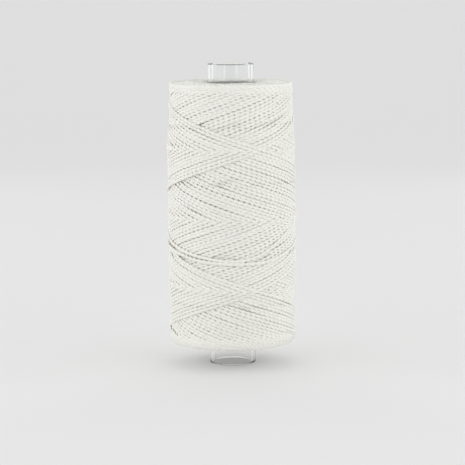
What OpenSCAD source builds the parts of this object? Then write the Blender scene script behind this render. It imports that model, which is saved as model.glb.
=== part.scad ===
// Spool of waxed thread: thread cross-wound on a plain clear tube that sticks
// out at both ends. The spool stands on one end of the tube. +Z runs up the
// tube's axis, and the origin is the centre of the tube's bottom end.

/* [Core tube] */
// Length of the core tube, which is also the height of the spool
tube_h = 75; // [60:0.5:120]
// Outside diameter of the core tube
tube_d = 11.5; // [8:0.1:14]
// Thickness of the tube's wall
tube_wall = 0.95; // [0.7:0.05:2]
// Radius that takes the sharpness off the edges of the tube's two rims
rim_r = 0.2; // [0.1:0.05:0.3]

/* [Wound thread] */
// Length of bare tube above the winding
bare_top = 4.4; // [3:0.1:15]
// Length of bare tube below the winding
bare_bottom = 5.5; // [3:0.1:15]
// Diameter of the winding where it is fattest
wind_d = 32.4; // [26:0.1:45]
// How much narrower the winding is at its top edge
top_narrowing = 2; // [0:0.1:4]
// How much narrower the winding is at its bottom edge
bottom_narrowing = 0.8; // [0:0.1:4]
// Height of the fattest place, as a share of the winding's length
fattest_at = 0.6; // [0.3:0.05:0.7]
// Rounding of the winding's top edge
top_edge_r = 1; // [0.3:0.1:3]
// Rounding of the winding's bottom edge
bottom_edge_r = 2; // [0.3:0.1:3]

/* [Hidden] */
$fn = 96;
side_steps = 24;
edge_steps = 8;
tube_r = tube_d / 2;
bore_r = tube_r - tube_wall;
wind_z0 = bare_bottom;
wind_z1 = tube_h - bare_top;
fattest_z = wind_z0 + fattest_at * (wind_z1 - wind_z0);

// Radius of the winding's side at height z: a gentle barrel, which narrows
// with the square of the distance from its fattest place.
function side_r(z) =
    let (up = z > fattest_z)
    let (span = up ? wind_z1 - fattest_z : wind_z0 - fattest_z)
    let (narrowing = up ? top_narrowing : bottom_narrowing)
    wind_d / 2 - narrowing / 2 * pow((z - fattest_z) / span, 2);

// Points of the winding's side between its two rounded edges, from the bottom up.
function side_points() =
    let (z0 = wind_z0 + bottom_edge_r)
    let (z1 = wind_z1 - top_edge_r)
    [for (i = [0 : side_steps])
        let (z = z0 + (z1 - z0) * i / side_steps)
        [side_r(z), z]];

// Points of a rounded edge of radius r about the corner centre c, from angle a0 to a1.
function edge_points(c, r, a0, a1) =
    [for (i = [0 : edge_steps])
        let (a = a0 + (a1 - a0) * i / edge_steps)
        c + r * [cos(a), sin(a)]];

// Centre of the rounding at the bottom edge, and at the top edge.
function bottom_centre() =
    let (z = wind_z0 + bottom_edge_r)
    [side_r(z) - bottom_edge_r, z];
function top_centre() =
    let (z = wind_z1 - top_edge_r)
    [side_r(z) - top_edge_r, z];

// Clear moulded tube, open right through, with softened rims.
module core_tube() {
    color([0.86, 0.89, 0.9, 0.4])
    rotate_extrude()
    polygon([
        [bore_r + rim_r, 0],
        [tube_r - rim_r, 0],
        [tube_r, rim_r],
        [tube_r, tube_h - rim_r],
        [tube_r - rim_r, tube_h],
        [bore_r + rim_r, tube_h],
        [bore_r, tube_h - rim_r],
        [bore_r, rim_r]
    ]);
}

// The whole length of thread as it is wound, from the tube's surface outwards.
module wound_thread() {
    color([0.95, 0.94, 0.9])
    rotate_extrude()
    polygon(concat(
        [[tube_r, wind_z0]],
        edge_points(bottom_centre(), bottom_edge_r, -90, -1),
        side_points(),
        edge_points(top_centre(), top_edge_r, 1, 90),
        [[tube_r, wind_z1]]
    ));
}

core_tube();
wound_thread();
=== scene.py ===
"""Looks of the thread spool: a clear tube with thread cross-wound on it, wound turn by turn in code.

Lengths named in the winding section are in millimetres and angles in degrees. Meshes are in metres.
An angle round the spool is 0 at the front, towards -Y, and grows towards +X.
"""

import math

import bpy
import numpy as np
from mathutils import Matrix, Vector


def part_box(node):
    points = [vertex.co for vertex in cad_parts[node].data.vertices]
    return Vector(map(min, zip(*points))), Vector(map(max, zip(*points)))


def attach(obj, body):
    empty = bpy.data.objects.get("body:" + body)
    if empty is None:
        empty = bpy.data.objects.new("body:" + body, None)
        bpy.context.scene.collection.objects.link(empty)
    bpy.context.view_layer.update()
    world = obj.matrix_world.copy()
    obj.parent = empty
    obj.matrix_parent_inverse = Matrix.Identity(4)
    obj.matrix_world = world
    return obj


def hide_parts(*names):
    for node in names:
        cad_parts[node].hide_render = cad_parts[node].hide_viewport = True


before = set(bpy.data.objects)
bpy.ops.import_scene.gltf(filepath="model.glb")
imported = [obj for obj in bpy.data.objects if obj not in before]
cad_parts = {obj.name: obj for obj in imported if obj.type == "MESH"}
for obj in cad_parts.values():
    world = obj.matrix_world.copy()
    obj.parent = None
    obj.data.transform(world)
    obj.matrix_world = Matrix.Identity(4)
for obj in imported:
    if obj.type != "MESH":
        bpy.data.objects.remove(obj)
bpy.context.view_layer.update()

MM = 0.001
rng = np.random.default_rng(7)

# ---------------------------------------------------------------- sizes, from the frame

tube_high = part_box("core_tube")[1]
wind_low, wind_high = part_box("wound_thread")

HEIGHT = tube_high.z / MM
TUBE_R = tube_high.x / MM
WIND_Z0 = wind_low.z / MM
WIND_Z1 = wind_high.z / MM
FAT_R = wind_high.x / MM

# ---------------------------------------------------------------- the thread and how it is wound

THREAD_D = 1.04  # width where its two plies lie side by side
THREAD_FLAT = 0.52  # height of the thread as a share of its width, pressed flat by the winding
FATTEST_AT = 0.6  # share of the winding's length
TOP_NARROWING = 1.0  # on the radius
BOTTOM_NARROWING = 0.4
TOP_EDGE_R = 1.0
BOTTOM_EDGE_R = 2.0

LEAD = 34.2  # height that a stroke gains in one turn
THREADS_PER_LEAD = 40
TURNS_PER_CYCLE = 4  # whole turns in one stroke down and one up
DOWN_AT_FRONT = 57.35  # height where the last stroke down first passes the front
UP_AT_FRONT = 52.3  # height where the last stroke up last passes the front
CLIMB = LEAD / 360
CYCLE = 360 * TURNS_PER_CYCLE + 360 / THREADS_PER_LEAD

TOP_TURN = (DOWN_AT_FRONT - UP_AT_FRONT - LEAD) / (2 * CLIMB)  # angle of the last turn back at the top
TOP_REACH = DOWN_AT_FRONT - CLIMB * TOP_TURN  # height the strokes would meet at if they didn't round off
BOTTOM_REACH = TOP_REACH - CLIMB * CYCLE / 2

# The last turns leave the regular stroke and wander in the lower half: (angle, height).
LAST_TURNS = (
    (240, 35), (280, 32), (300, 30.5), (330, 28.5), (360, 27.5), (380, 28), (400, 31),
    (425, 35), (450, 37), (490, 38), (540, 36.5), (600, 32.5), (660, 29), (690, 27.5),
    (720, 27), (750, 27), (780, 29), (820, 32), (870, 34),
)

STEP = 0.5  # degrees between samples of the path
CYCLES_LAID = 400  # strokes down and up, from the bare tube to full
CYCLES_FINE = 41  # the newest of them, which make the visible side
CYCLES_COARSE = 24  # the next older ones, seen through the gaps
EDGE_SLIP = 0.25  # how far short of the winding's end a stroke may turn back
CONTACT_D = 0.72  # width at which two threads side by side touch, with their plies nested
FLATTEST_SLOPE = 0.2  # least share of its height that a thread adds where its stroke slows down
STIFF_REACH = 5  # samples to each side over which a taut thread bridges what it crosses
STIFF_BLUR = 4.0  # samples over which its bends are then rounded
RADIUS_BLUR = 1.5  # samples over which its radius is smoothed at last
PRESSED = 0.5  # thickness of the outermost layers as a share of the inner ones
PRESSED_DEPTH = 1.5  # depth over which the layers get back to their full thickness
PROUD_SHARE = 0.35  # how much is left of the height by which a thread stands out of the newest layer
RISE_AT_NEWEST = 0.12  # how much the newest strokes stand up from the oldest beside them
RISE_FADE = 4  # power of the share wound at which that difference grows
STRAY = 0.055  # spread of a thread's distance from its even place beside the last one
STRAY_SPACING = 110  # samples over which that changes
END_ARC = 62  # angle to each side of an older stroke's turning point that is still made
BURIED_DEPTH = 1.5  # how far under the side the plain barrel lies that stands for the buried turns
BURIED_COVER = 0.3  # how far under the winding's two ends it lies

PLIES = 2
PLY_R = 0.64  # radius of a ply, and how far it is off the thread's axis, as shares of the thread's radius
PLY_OFF = 0.36
TWIST_LENGTH = 2.76  # length of one full turn of the plies

FINE_EVERY = 2  # samples of the path to one ring of the mesh in the newest turns
COARSE_EVERY = 4  # the same in the older turns
END_EVERY = 6  # the same in the arcs of the end faces
FINE_POINTS = 6  # points round each ply in the newest turns
COARSE_POINTS = 3  # the same in all others


def side_radius(z):
    """Radius of the winding's side at height z, before its edges are rounded."""
    fattest = WIND_Z0 + FATTEST_AT * (WIND_Z1 - WIND_Z0)
    up = z > fattest
    span = np.where(up, WIND_Z1 - fattest, fattest - WIND_Z0)
    narrowing = np.where(up, TOP_NARROWING, BOTTOM_NARROWING)
    return FAT_R - narrowing * ((z - fattest) / span) ** 2


def path_radius(z):
    """Radius at which the middle of a thread that lies on the surface runs at height z."""
    half = THREAD_D * THREAD_FLAT / 2
    r = side_radius(z) - half
    edges = (
        (TOP_EDGE_R, z - (WIND_Z1 - TOP_EDGE_R)),
        (BOTTOM_EDGE_R, WIND_Z0 + BOTTOM_EDGE_R - z),
    )
    for edge, depth in edges:
        bend = edge - half
        into = np.clip(depth, 0, bend)
        r = r - (bend - np.sqrt(bend**2 - into**2))
    return r


def smooth_noise(n, spacing, size):
    """n random numbers that change smoothly over about spacing samples, with a spread of size."""
    knots = rng.normal(0, size, int(n / spacing) + 4)
    at = np.arange(n) / spacing + 1
    i = at.astype(int)
    f = at - i
    f = f * f * (3 - 2 * f)
    return knots[i] * (1 - f) + knots[i + 1] * f


def blur(values, sigma):
    """Gaussian smoothing along a path, with the ends held."""
    reach = int(3 * sigma) + 1
    weights = np.exp(-0.5 * (np.arange(-reach, reach + 1) / sigma) ** 2)
    padded = np.concatenate([np.full(reach, values[0]), values, np.full(reach, values[-1])])
    return np.convolve(padded, weights / weights.sum(), "valid")


def stroke_heights(turned):
    """Height of the regular strokes at each angle turned, and their slope as a share of the full one."""
    cycle = np.round((turned - TOP_TURN) / CYCLE).astype(int)
    off_top = np.abs(turned - TOP_TURN - cycle * CYCLE)
    off_bottom = CYCLE / 2 - off_top
    cycle_down = np.floor((turned - TOP_TURN) / CYCLE).astype(int)
    z = TOP_REACH - CLIMB * off_top
    count = CYCLES_LAID + 3  # a few to spare
    top_at = WIND_Z1 - THREAD_D / 2 - rng.uniform(0, EDGE_SLIP, count)
    bottom_at = WIND_Z0 + THREAD_D / 2 + rng.uniform(0, EDGE_SLIP, count)
    top_bend = 2 * (TOP_REACH - top_at[cycle]) / CLIMB
    bottom_bend = 2 * (bottom_at[cycle_down] - BOTTOM_REACH) / CLIMB
    near_top = off_top < top_bend
    near_bottom = off_bottom < bottom_bend
    round_top = TOP_REACH - CLIMB * (top_bend / 2 + off_top**2 / (2 * top_bend))
    round_bottom = BOTTOM_REACH + CLIMB * (bottom_bend / 2 + off_bottom**2 / (2 * bottom_bend))
    z = np.where(near_top, round_top, z)
    z = np.where(near_bottom, round_bottom, z)
    slope_at_top = np.where(near_top, off_top / top_bend, 1)
    slope_at_bottom = np.where(near_bottom, off_bottom / bottom_bend, 1)
    return z, np.minimum(slope_at_top, slope_at_bottom)


def thread_path():
    """Angle turned, height and share of slope of every sample, from the first stroke to the free end."""
    turned = np.arange(TOP_TURN - CYCLES_LAID * CYCLE, LAST_TURNS[-1][0], STEP)
    z, slope = stroke_heights(turned)
    z = z + smooth_noise(len(z), STRAY_SPACING, STRAY) * slope
    leave = LAST_TURNS[0][0]
    softening = 16  # samples over which the corners of the last turns are smoothed
    before = 60  # samples of the regular stroke that are smoothed with them
    angles, heights = zip(*LAST_TURNS)
    wander = np.interp(turned, angles, heights)
    tail = turned > leave
    joined = np.where(tail, wander, z)
    start = np.searchsorted(turned, leave) - before
    joined[start:] = blur(joined[start:], softening)
    return turned, joined, np.where(tail, 1, slope)


class Surface:
    """The wound surface as it grows, on a grid of angle and height.

    It holds how high the surface is and how high the middles of its top threads run, in a measure of
    its own: wind() scales it to the winding's real build.
    """

    CELL = 0.15  # height of a cell
    MARGIN = 1.5  # height of the grid past each end of the winding
    GAP_REACH = (4, 3)  # cells round and up over which level() fills the gaps between threads
    MEAN_REACH = (6, 5)  # cells round and up over which it then takes the mean, twice

    def __init__(self):
        self.low = WIND_Z0 - self.MARGIN
        self.columns = int(360 / STEP)
        self.rows = int((WIND_Z1 + self.MARGIN - self.low) / self.CELL)
        self.height = np.zeros((self.columns, self.rows))
        self.middle = np.zeros((self.columns, self.rows))

    def lay(self, turned, z, slope):
        """Lays a stretch of thread on the surface and returns the height of its middle."""
        column = (np.round(turned / STEP).astype(int) % self.columns)[:, None]
        half = CONTACT_D / 2
        reach = int(half / self.CELL) + 1
        nearest = np.round((z - self.low) / self.CELL).astype(int)
        row = np.clip(nearest[:, None] + np.arange(-reach, reach + 1), 0, self.rows - 1)
        off = row * self.CELL + self.low - z[:, None]
        share = np.clip(slope, FLATTEST_SLOPE, 1)[:, None]
        bulge = share * np.sqrt(np.clip(half**2 - off**2, 0, None))
        under = np.abs(off) < half
        rest = np.where(under, self.height[column, row] + bulge, -1).max(1)
        rest = blur(highest_near(rest, STIFF_REACH, 0), STIFF_BLUR)
        top = rest[:, None] + bulge
        wins = under & (top > self.height[column, row])
        self.height[column, row] = np.where(wins, top, self.height[column, row])
        self.middle[column, row] = np.where(wins, rest[:, None], self.middle[column, row])
        return rest

    def level(self):
        """How high the top threads run at each place, without the relief of single threads."""
        level = self.middle
        for axis, reach in enumerate(self.GAP_REACH):
            level = highest_near(level, reach, axis)
        for axis, reach in 2 * tuple(enumerate(self.MEAN_REACH)):
            level = running_mean(level, reach, axis)
        return level


def highest_near(values, reach, axis):
    """The highest value within reach cells to each side, wrapping round."""
    return np.max([np.roll(values, i, axis) for i in range(-reach, reach + 1)], axis=0)


def running_mean(values, reach, axis):
    """Mean over reach cells to each side, wrapping round."""
    return sum(np.roll(values, i, axis) for i in range(-reach, reach + 1)) / (2 * reach + 1)


def newest_rise(turned, z):
    """How far the surface stands above or below its mean, because the newest threads lie proudest."""
    age_down = ((DOWN_AT_FRONT - CLIMB * turned - z) / LEAD) % 1
    age_up = ((z - UP_AT_FRONT - CLIMB * turned) / LEAD) % 1
    return RISE_AT_NEWEST * (1 - age_down - age_up)


def wind():
    """Lays the whole thread, and returns the angle, radius and height of each sample of its middle."""
    turned, z, slope = thread_path()
    surface = Surface()
    lift = np.zeros(len(turned))
    stretch = int(CYCLE / 2 / STEP)
    for start in range(0, len(turned), stretch):
        part = slice(start, min(start + stretch, len(turned)))
        lift[part] = surface.lay(turned[part], z[part], slope[part])
    column = np.round(turned / STEP).astype(int) % surface.columns
    row = np.clip(np.round((z - surface.low) / surface.CELL).astype(int), 0, surface.rows - 1)
    full = surface.level()[column, row]
    first = CONTACT_D / 2
    bare = TUBE_R + THREAD_D / 2
    share = (lift - first) / (full - first)
    build = path_radius(z) - bare
    depth = pressed((1 - share) * build) * build / pressed(build)
    rise = newest_rise(turned, z) * np.clip(share, 0, 1) ** RISE_FADE
    radius = path_radius(z) - np.maximum(depth, PROUD_SHARE * depth) + rise
    return turned, blur(radius, RADIUS_BLUR), z


def pressed(depth):
    """Depth below the surface once the outermost layers are pressed together."""
    inside = np.maximum(depth, 0)
    lost = (1 - PRESSED) * PRESSED_DEPTH * (1 - np.exp(-inside / PRESSED_DEPTH))
    return PRESSED * np.minimum(depth, 0) + inside - lost


# ---------------------------------------------------------------- meshes


def new_mesh(name, points, faces, uv=None):
    """An object from points in millimetres and a list of arrays of faces, one array for each face size."""
    mesh = bpy.data.meshes.new(name)
    sizes = np.concatenate([np.full(len(f), f.shape[1]) for f in faces])
    corners = np.concatenate([f.ravel() for f in faces])
    mesh.vertices.add(len(points))
    mesh.vertices.foreach_set("co", (points * MM).astype(np.float32).ravel())
    mesh.loops.add(len(corners))
    mesh.loops.foreach_set("vertex_index", corners.astype(np.int32))
    mesh.polygons.add(len(sizes))
    starts = np.concatenate([[0], np.cumsum(sizes)[:-1]])
    mesh.polygons.foreach_set("loop_start", starts.astype(np.int32))
    mesh.polygons.foreach_set("use_smooth", np.ones(len(sizes), bool))
    if uv is not None:
        layer = mesh.uv_layers.new(name="along_thread")
        layer.data.foreach_set("uv", uv[corners].astype(np.float32).ravel())
    mesh.update(calc_edges=True)
    mesh.validate()
    piece = bpy.data.objects.new(name, mesh)
    bpy.context.scene.collection.objects.link(piece)
    return piece


def thread_section(points_per_ply):
    """Angles and radii of the corners of the thread's section: plies side by side, with grooves between."""
    count = PLIES * points_per_ply
    angle = np.arange(count) * 2 * math.pi / count
    ply = 2 * math.pi / PLIES
    off = (angle + ply / 2) % ply - ply / 2
    reach = PLY_OFF * np.cos(off) + np.sqrt(PLY_R**2 - (PLY_OFF * np.sin(off)) ** 2)
    return angle, reach * THREAD_D / 2


def strand(turned, radius, z, points_per_ply):
    """Points, quads, end faces and texture coordinates of a closed tube of plied thread along the path."""
    a = np.radians(turned)
    middle = np.stack([radius * np.sin(a), -radius * np.cos(a), z], 1)
    along = np.gradient(middle, axis=0)
    along /= np.linalg.norm(along, axis=1, keepdims=True)
    out = np.stack([np.sin(a), -np.cos(a), np.zeros(len(a))], 1)
    out -= along * (out * along).sum(1, keepdims=True)
    out /= np.linalg.norm(out, axis=1, keepdims=True)
    across = np.cross(along, out)
    length = np.concatenate([[0], np.cumsum(np.linalg.norm(np.diff(middle, axis=0), axis=1))])
    angle, reach = thread_section(points_per_ply)
    turn = angle[None, :] + (2 * math.pi * length / TWIST_LENGTH)[:, None]
    points = (
        middle[:, None]
        + THREAD_FLAT * (reach * np.cos(turn))[..., None] * out[:, None]
        + (reach * np.sin(turn))[..., None] * across[:, None]
    )
    rings, sides = points.shape[:2]
    index = np.arange(rings * sides).reshape(rings, sides)
    a0, a1 = index[:-1], index[1:]
    b0, b1 = np.roll(a0, -1, 1), np.roll(a1, -1, 1)
    quads = np.stack([a0, b0, b1, a1], -1).reshape(-1, 4)
    caps = np.stack([index[0][::-1], index[-1]])
    uv = np.stack([np.repeat(length, sides), np.tile(angle / (2 * math.pi), rings)], 1)
    return points.reshape(-1, 3), quads, caps, uv


def strand_mesh(name, strands):
    """One object from several strands."""
    base = 0
    points, quads, caps, uvs = [], [], [], []
    for p, q, c, uv in strands:
        points.append(p)
        quads.append(q + base)
        caps.append(c + base)
        uvs.append(uv)
        base += len(p)
    faces = [np.concatenate(quads), np.concatenate(caps)]
    return new_mesh(name, np.concatenate(points), faces, np.concatenate(uvs))


# ---------------------------------------------------------------- materials


def new_material(name):
    material = bpy.data.materials.new(name)
    material.use_nodes = True
    nodes = material.node_tree.nodes
    return material, nodes, material.node_tree.links, nodes["Principled BSDF"]


def thread_material():
    """White waxed thread: near-white fibres, slightly uneven."""
    material, nodes, links, shader = new_material("waxed_thread")
    shader.inputs["Roughness"].default_value = 0.55
    shader.inputs["IOR"].default_value = 1.45
    place = nodes.new("ShaderNodeTexCoord")
    cloud = nodes.new("ShaderNodeTexNoise")
    cloud.inputs["Scale"].default_value = 260
    cloud.inputs["Detail"].default_value = 3
    links.new(place.outputs["Object"], cloud.inputs["Vector"])
    tone = nodes.new("ShaderNodeValToRGB")
    tone.color_ramp.elements[0].position = 0.3
    tone.color_ramp.elements[0].color = (0.93, 0.925, 0.87, 1)
    tone.color_ramp.elements[1].position = 0.7
    tone.color_ramp.elements[1].color = (0.95, 0.945, 0.895, 1)
    links.new(cloud.outputs["Fac"], tone.inputs["Fac"])
    links.new(tone.outputs["Color"], shader.inputs["Base Color"])
    stretch = nodes.new("ShaderNodeMapping")
    stretch.inputs["Scale"].default_value = (1.2, 9, 1)
    links.new(place.outputs["UV"], stretch.inputs["Vector"])
    fibre = nodes.new("ShaderNodeTexNoise")
    fibre.inputs["Scale"].default_value = 3
    fibre.inputs["Detail"].default_value = 4
    links.new(stretch.outputs["Vector"], fibre.inputs["Vector"])
    bump = nodes.new("ShaderNodeBump")
    bump.inputs["Strength"].default_value = 0.35
    bump.inputs["Distance"].default_value = 0.05 * MM
    links.new(fibre.outputs["Fac"], bump.inputs["Height"])
    links.new(bump.outputs["Normal"], shader.inputs["Normal"])
    return material


def clear_plastic():
    """The tube's clear moulded plastic."""
    material, nodes, links, shader = new_material("clear_plastic")
    shader.inputs["Base Color"].default_value = (0.99, 0.995, 0.995, 1)
    shader.inputs["Roughness"].default_value = 0.08
    shader.inputs["IOR"].default_value = 1.49
    shader.inputs["Transmission Weight"].default_value = 1.0
    place = nodes.new("ShaderNodeTexCoord")
    ripple = nodes.new("ShaderNodeTexNoise")
    ripple.inputs["Scale"].default_value = 120
    ripple.inputs["Detail"].default_value = 1
    links.new(place.outputs["Object"], ripple.inputs["Vector"])
    bump = nodes.new("ShaderNodeBump")
    bump.inputs["Strength"].default_value = 0.06
    bump.inputs["Distance"].default_value = 0.1 * MM
    links.new(ripple.outputs["Fac"], bump.inputs["Height"])
    links.new(bump.outputs["Normal"], shader.inputs["Normal"])
    return material


def floor_material():
    """Matt white sheet, lit a little from beneath as well, as on a light table."""
    material, nodes, links, shader = new_material("pale_floor")
    shader.inputs["Base Color"].default_value = (0.6, 0.6, 0.6, 1)
    shader.inputs["Roughness"].default_value = 0.9
    shader.inputs["Specular IOR Level"].default_value = 0.1
    shader.inputs["Emission Color"].default_value = (1, 1, 1, 1)
    shader.inputs["Emission Strength"].default_value = FLOOR_GLOW
    return material


# ---------------------------------------------------------------- pieces


def as_thread(piece, material):
    piece.data.materials.append(material)
    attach(piece, "root")
    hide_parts("wound_thread")


def stretch_of(path, begin, end, every):
    """The samples of the path from one angle to another, with only one in every few kept."""
    turned = path[0]
    part = np.nonzero((turned >= begin) & (turned <= end))[0][::every]
    return [values[part] for values in path]


def visible_turns(path, material):
    """The newest strokes in full detail, in groups, and the last turns with the thread's free end."""
    leave = LAST_TURNS[0][0]
    free_end = LAST_TURNS[-1][0]
    groups = 8
    edges = np.linspace(TOP_TURN - CYCLES_FINE * CYCLE, leave, groups + 1)
    for number, (begin, end) in enumerate(zip(edges[:-1], edges[1:])):
        group = strand(*stretch_of(path, begin, end, FINE_EVERY), FINE_POINTS)
        as_thread(strand_mesh(f"turns_{number + 1}", [group]), material)
    last = strand(*stretch_of(path, leave, free_end, FINE_EVERY), FINE_POINTS)
    as_thread(strand_mesh("last_turns", [last]), material)


def older_turns(path, material):
    """The strokes just under the newest ones, more coarsely made, in two groups."""
    end = TOP_TURN - CYCLES_FINE * CYCLE
    begin = end - CYCLES_COARSE * CYCLE
    middle = (begin + end) / 2
    for number, (low, high) in enumerate(((begin, middle), (middle, end))):
        group = strand(*stretch_of(path, low, high, COARSE_EVERY), COARSE_POINTS)
        as_thread(strand_mesh(f"older_turns_{number + 1}", [group]), material)


def end_turns(path, material):
    """The arcs in which all older strokes turn back, which make the winding's two end faces."""
    for name, offset in (("top_end_turns", 0.0), ("bottom_end_turns", -CYCLE / 2)):
        arcs = []
        for cycle in range(CYCLES_FINE + CYCLES_COARSE, CYCLES_LAID):
            middle = TOP_TURN - cycle * CYCLE + offset
            arc = stretch_of(path, middle - END_ARC, middle + END_ARC, END_EVERY)
            arcs.append(strand(*arc, COARSE_POINTS))
        as_thread(strand_mesh(name, arcs), material)


def buried_core(material):
    """A closed barrel round the tube in place of the turns that nobody sees."""
    around = 192
    up = 120
    inner = TUBE_R + 0.02  # clear of the tube's surface
    heights = np.linspace(WIND_Z0 + BURIED_COVER, WIND_Z1 - BURIED_COVER, up)
    outer = side_radius(heights) - BURIED_DEPTH
    section = np.array([(inner, heights[0])] + list(zip(outer, heights)) + [(inner, heights[-1])])
    a = np.arange(around) * 2 * math.pi / around
    x = section[:, :1] * np.sin(a)
    y = -section[:, :1] * np.cos(a)
    z = np.repeat(section[:, 1:], around, 1)
    points = np.stack([x, y, z], -1).reshape(-1, 3)
    low = np.arange(len(section) * around).reshape(len(section), around)
    high = np.roll(low, -1, 0)
    quads = np.stack([low, np.roll(low, -1, 1), np.roll(high, -1, 1), high], -1).reshape(-1, 4)
    as_thread(new_mesh("buried_turns", points, [quads]), material)


def clear_tube():
    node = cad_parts["core_tube"]
    node.data.materials.clear()
    node.data.materials.append(clear_plastic())
    for face in node.data.polygons:
        face.use_smooth = True


# ---------------------------------------------------------------- camera, floor and light

CAMERA_AT = Vector((0.0, -0.496, 0.101))
AIM = Vector((0.000175, 0.0, 0.03275))
LENS = 155
CAMERA_ROLL = math.radians(0.45)


def make_camera():
    data = bpy.data.cameras.new("camera")
    data.lens = LENS
    data.sensor_width = 36
    data.clip_start = 0.01
    data.clip_end = 20
    camera = bpy.data.objects.new("camera", data)
    camera.location = CAMERA_AT
    turn = (AIM - CAMERA_AT).to_track_quat("-Z", "Y").to_matrix().to_4x4()
    camera.matrix_world = Matrix.Translation(CAMERA_AT) @ turn @ Matrix.Rotation(-CAMERA_ROLL, 4, "Z")
    bpy.context.scene.collection.objects.link(camera)
    bpy.context.scene.camera = camera


def make_floor():
    """A floor that curves up into a backdrop well behind the spool, all in one pale sheet."""
    half_width = 3.0
    front, bend_at, bend_r, top = -2.0, 0.9, 0.8, 2.5
    line = [(front, 0.0)]
    steps = 24
    for i in range(steps + 1):
        a = math.pi / 2 * i / steps
        line.append((bend_at + bend_r * math.sin(a), bend_r * (1 - math.cos(a))))
    line.append((bend_at + bend_r, top))
    verts = [(x, y, z) for y, z in line for x in (-half_width, half_width)]
    faces = [(2 * i, 2 * i + 1, 2 * i + 3, 2 * i + 2) for i in range(len(line) - 1)]
    mesh = bpy.data.meshes.new("floor")
    mesh.from_pydata(verts, [], faces)
    for face in mesh.polygons:
        face.use_smooth = True
    floor = bpy.data.objects.new("floor", mesh)
    bpy.context.scene.collection.objects.link(floor)
    mesh.materials.append(floor_material())


# Pairs of upright soft lights, one on each side: name, azimuth as seen from the spool in degrees (0 is
# towards the camera), distance, width, height of the lower and of the upper edge in metres, power in watts.
SOFTBOX_PAIRS = (
    ("front", 34, 0.42, 0.06, 0.0, 0.5, 0.12),
    ("side", 78, 0.45, 0.6, 0.0, 0.5, 0.75),
    ("back", 150, 0.45, 0.16, 0.0, 0.5, 0.09),
)
WIDEST_SEEN = 0.3  # a wider one isn't seen through the clear tube, which it would fill with white
OVERHEAD_AT = Vector((0, 0.01, 1.2))
OVERHEAD_SIZE = 1.2
OVERHEAD_POWER = 1.0
BACKDROP_AT = Vector((0, 1.2, 1.4))
BACKDROP_WIDTH = 1.6
BACKDROP_DEPTH = 0.6
BACKDROP_POWER = 4.3
SKY = 0.655
FLOOR_GLOW = 0.2


def softbox(name, place, aim, width, height, power, seen_through_tube=True):
    """A soft light that lights and is mirrored, but isn't seen by the camera itself."""
    data = bpy.data.lights.new(name, "AREA")
    data.shape = "RECTANGLE"
    data.size, data.size_y = width, height
    data.energy = power
    light = bpy.data.objects.new(name, data)
    light.location = place
    light.rotation_mode = "QUATERNION"
    light.rotation_quaternion = (aim - place).to_track_quat("-Z", "Y")
    light.visible_camera = False
    light.visible_transmission = seen_through_tube
    bpy.context.scene.collection.objects.link(light)


def make_light():
    world = bpy.data.worlds.new("world")
    bpy.context.scene.world = world
    world.use_nodes = True
    back = world.node_tree.nodes["Background"]
    back.inputs["Color"].default_value = (1, 1, 1, 1)
    back.inputs["Strength"].default_value = SKY
    middle = Vector((0, 0, HEIGHT * MM / 2))
    for name, azimuth, distance, width, bottom, top, power in SOFTBOX_PAIRS:
        aim = Vector((0, 0, (bottom + top) / 2))
        for side, az in (("left", -math.radians(azimuth)), ("right", math.radians(azimuth))):
            place = aim + distance * Vector((math.sin(az), -math.cos(az), 0))
            seen = width < WIDEST_SEEN
            softbox(f"{name}_{side}_softbox", place, aim, width, top - bottom, power, seen)
    below = Vector((BACKDROP_AT.x, BACKDROP_AT.y, 0))
    softbox("overhead_softbox", OVERHEAD_AT, middle, OVERHEAD_SIZE, OVERHEAD_SIZE, OVERHEAD_POWER)
    softbox("backdrop_softbox", BACKDROP_AT, below, BACKDROP_WIDTH, BACKDROP_DEPTH, BACKDROP_POWER)
    bpy.context.scene.view_settings.view_transform = "Standard"
    paths = bpy.context.scene.cycles
    paths.max_bounces = 48
    paths.diffuse_bounces = 40
    paths.glossy_bounces = 16
    paths.transmission_bounces = 24


thread_look = thread_material()
path = wind()
visible_turns(path, thread_look)
older_turns(path, thread_look)
end_turns(path, thread_look)
buried_core(thread_look)
clear_tube()
make_camera()
make_floor()
make_light()
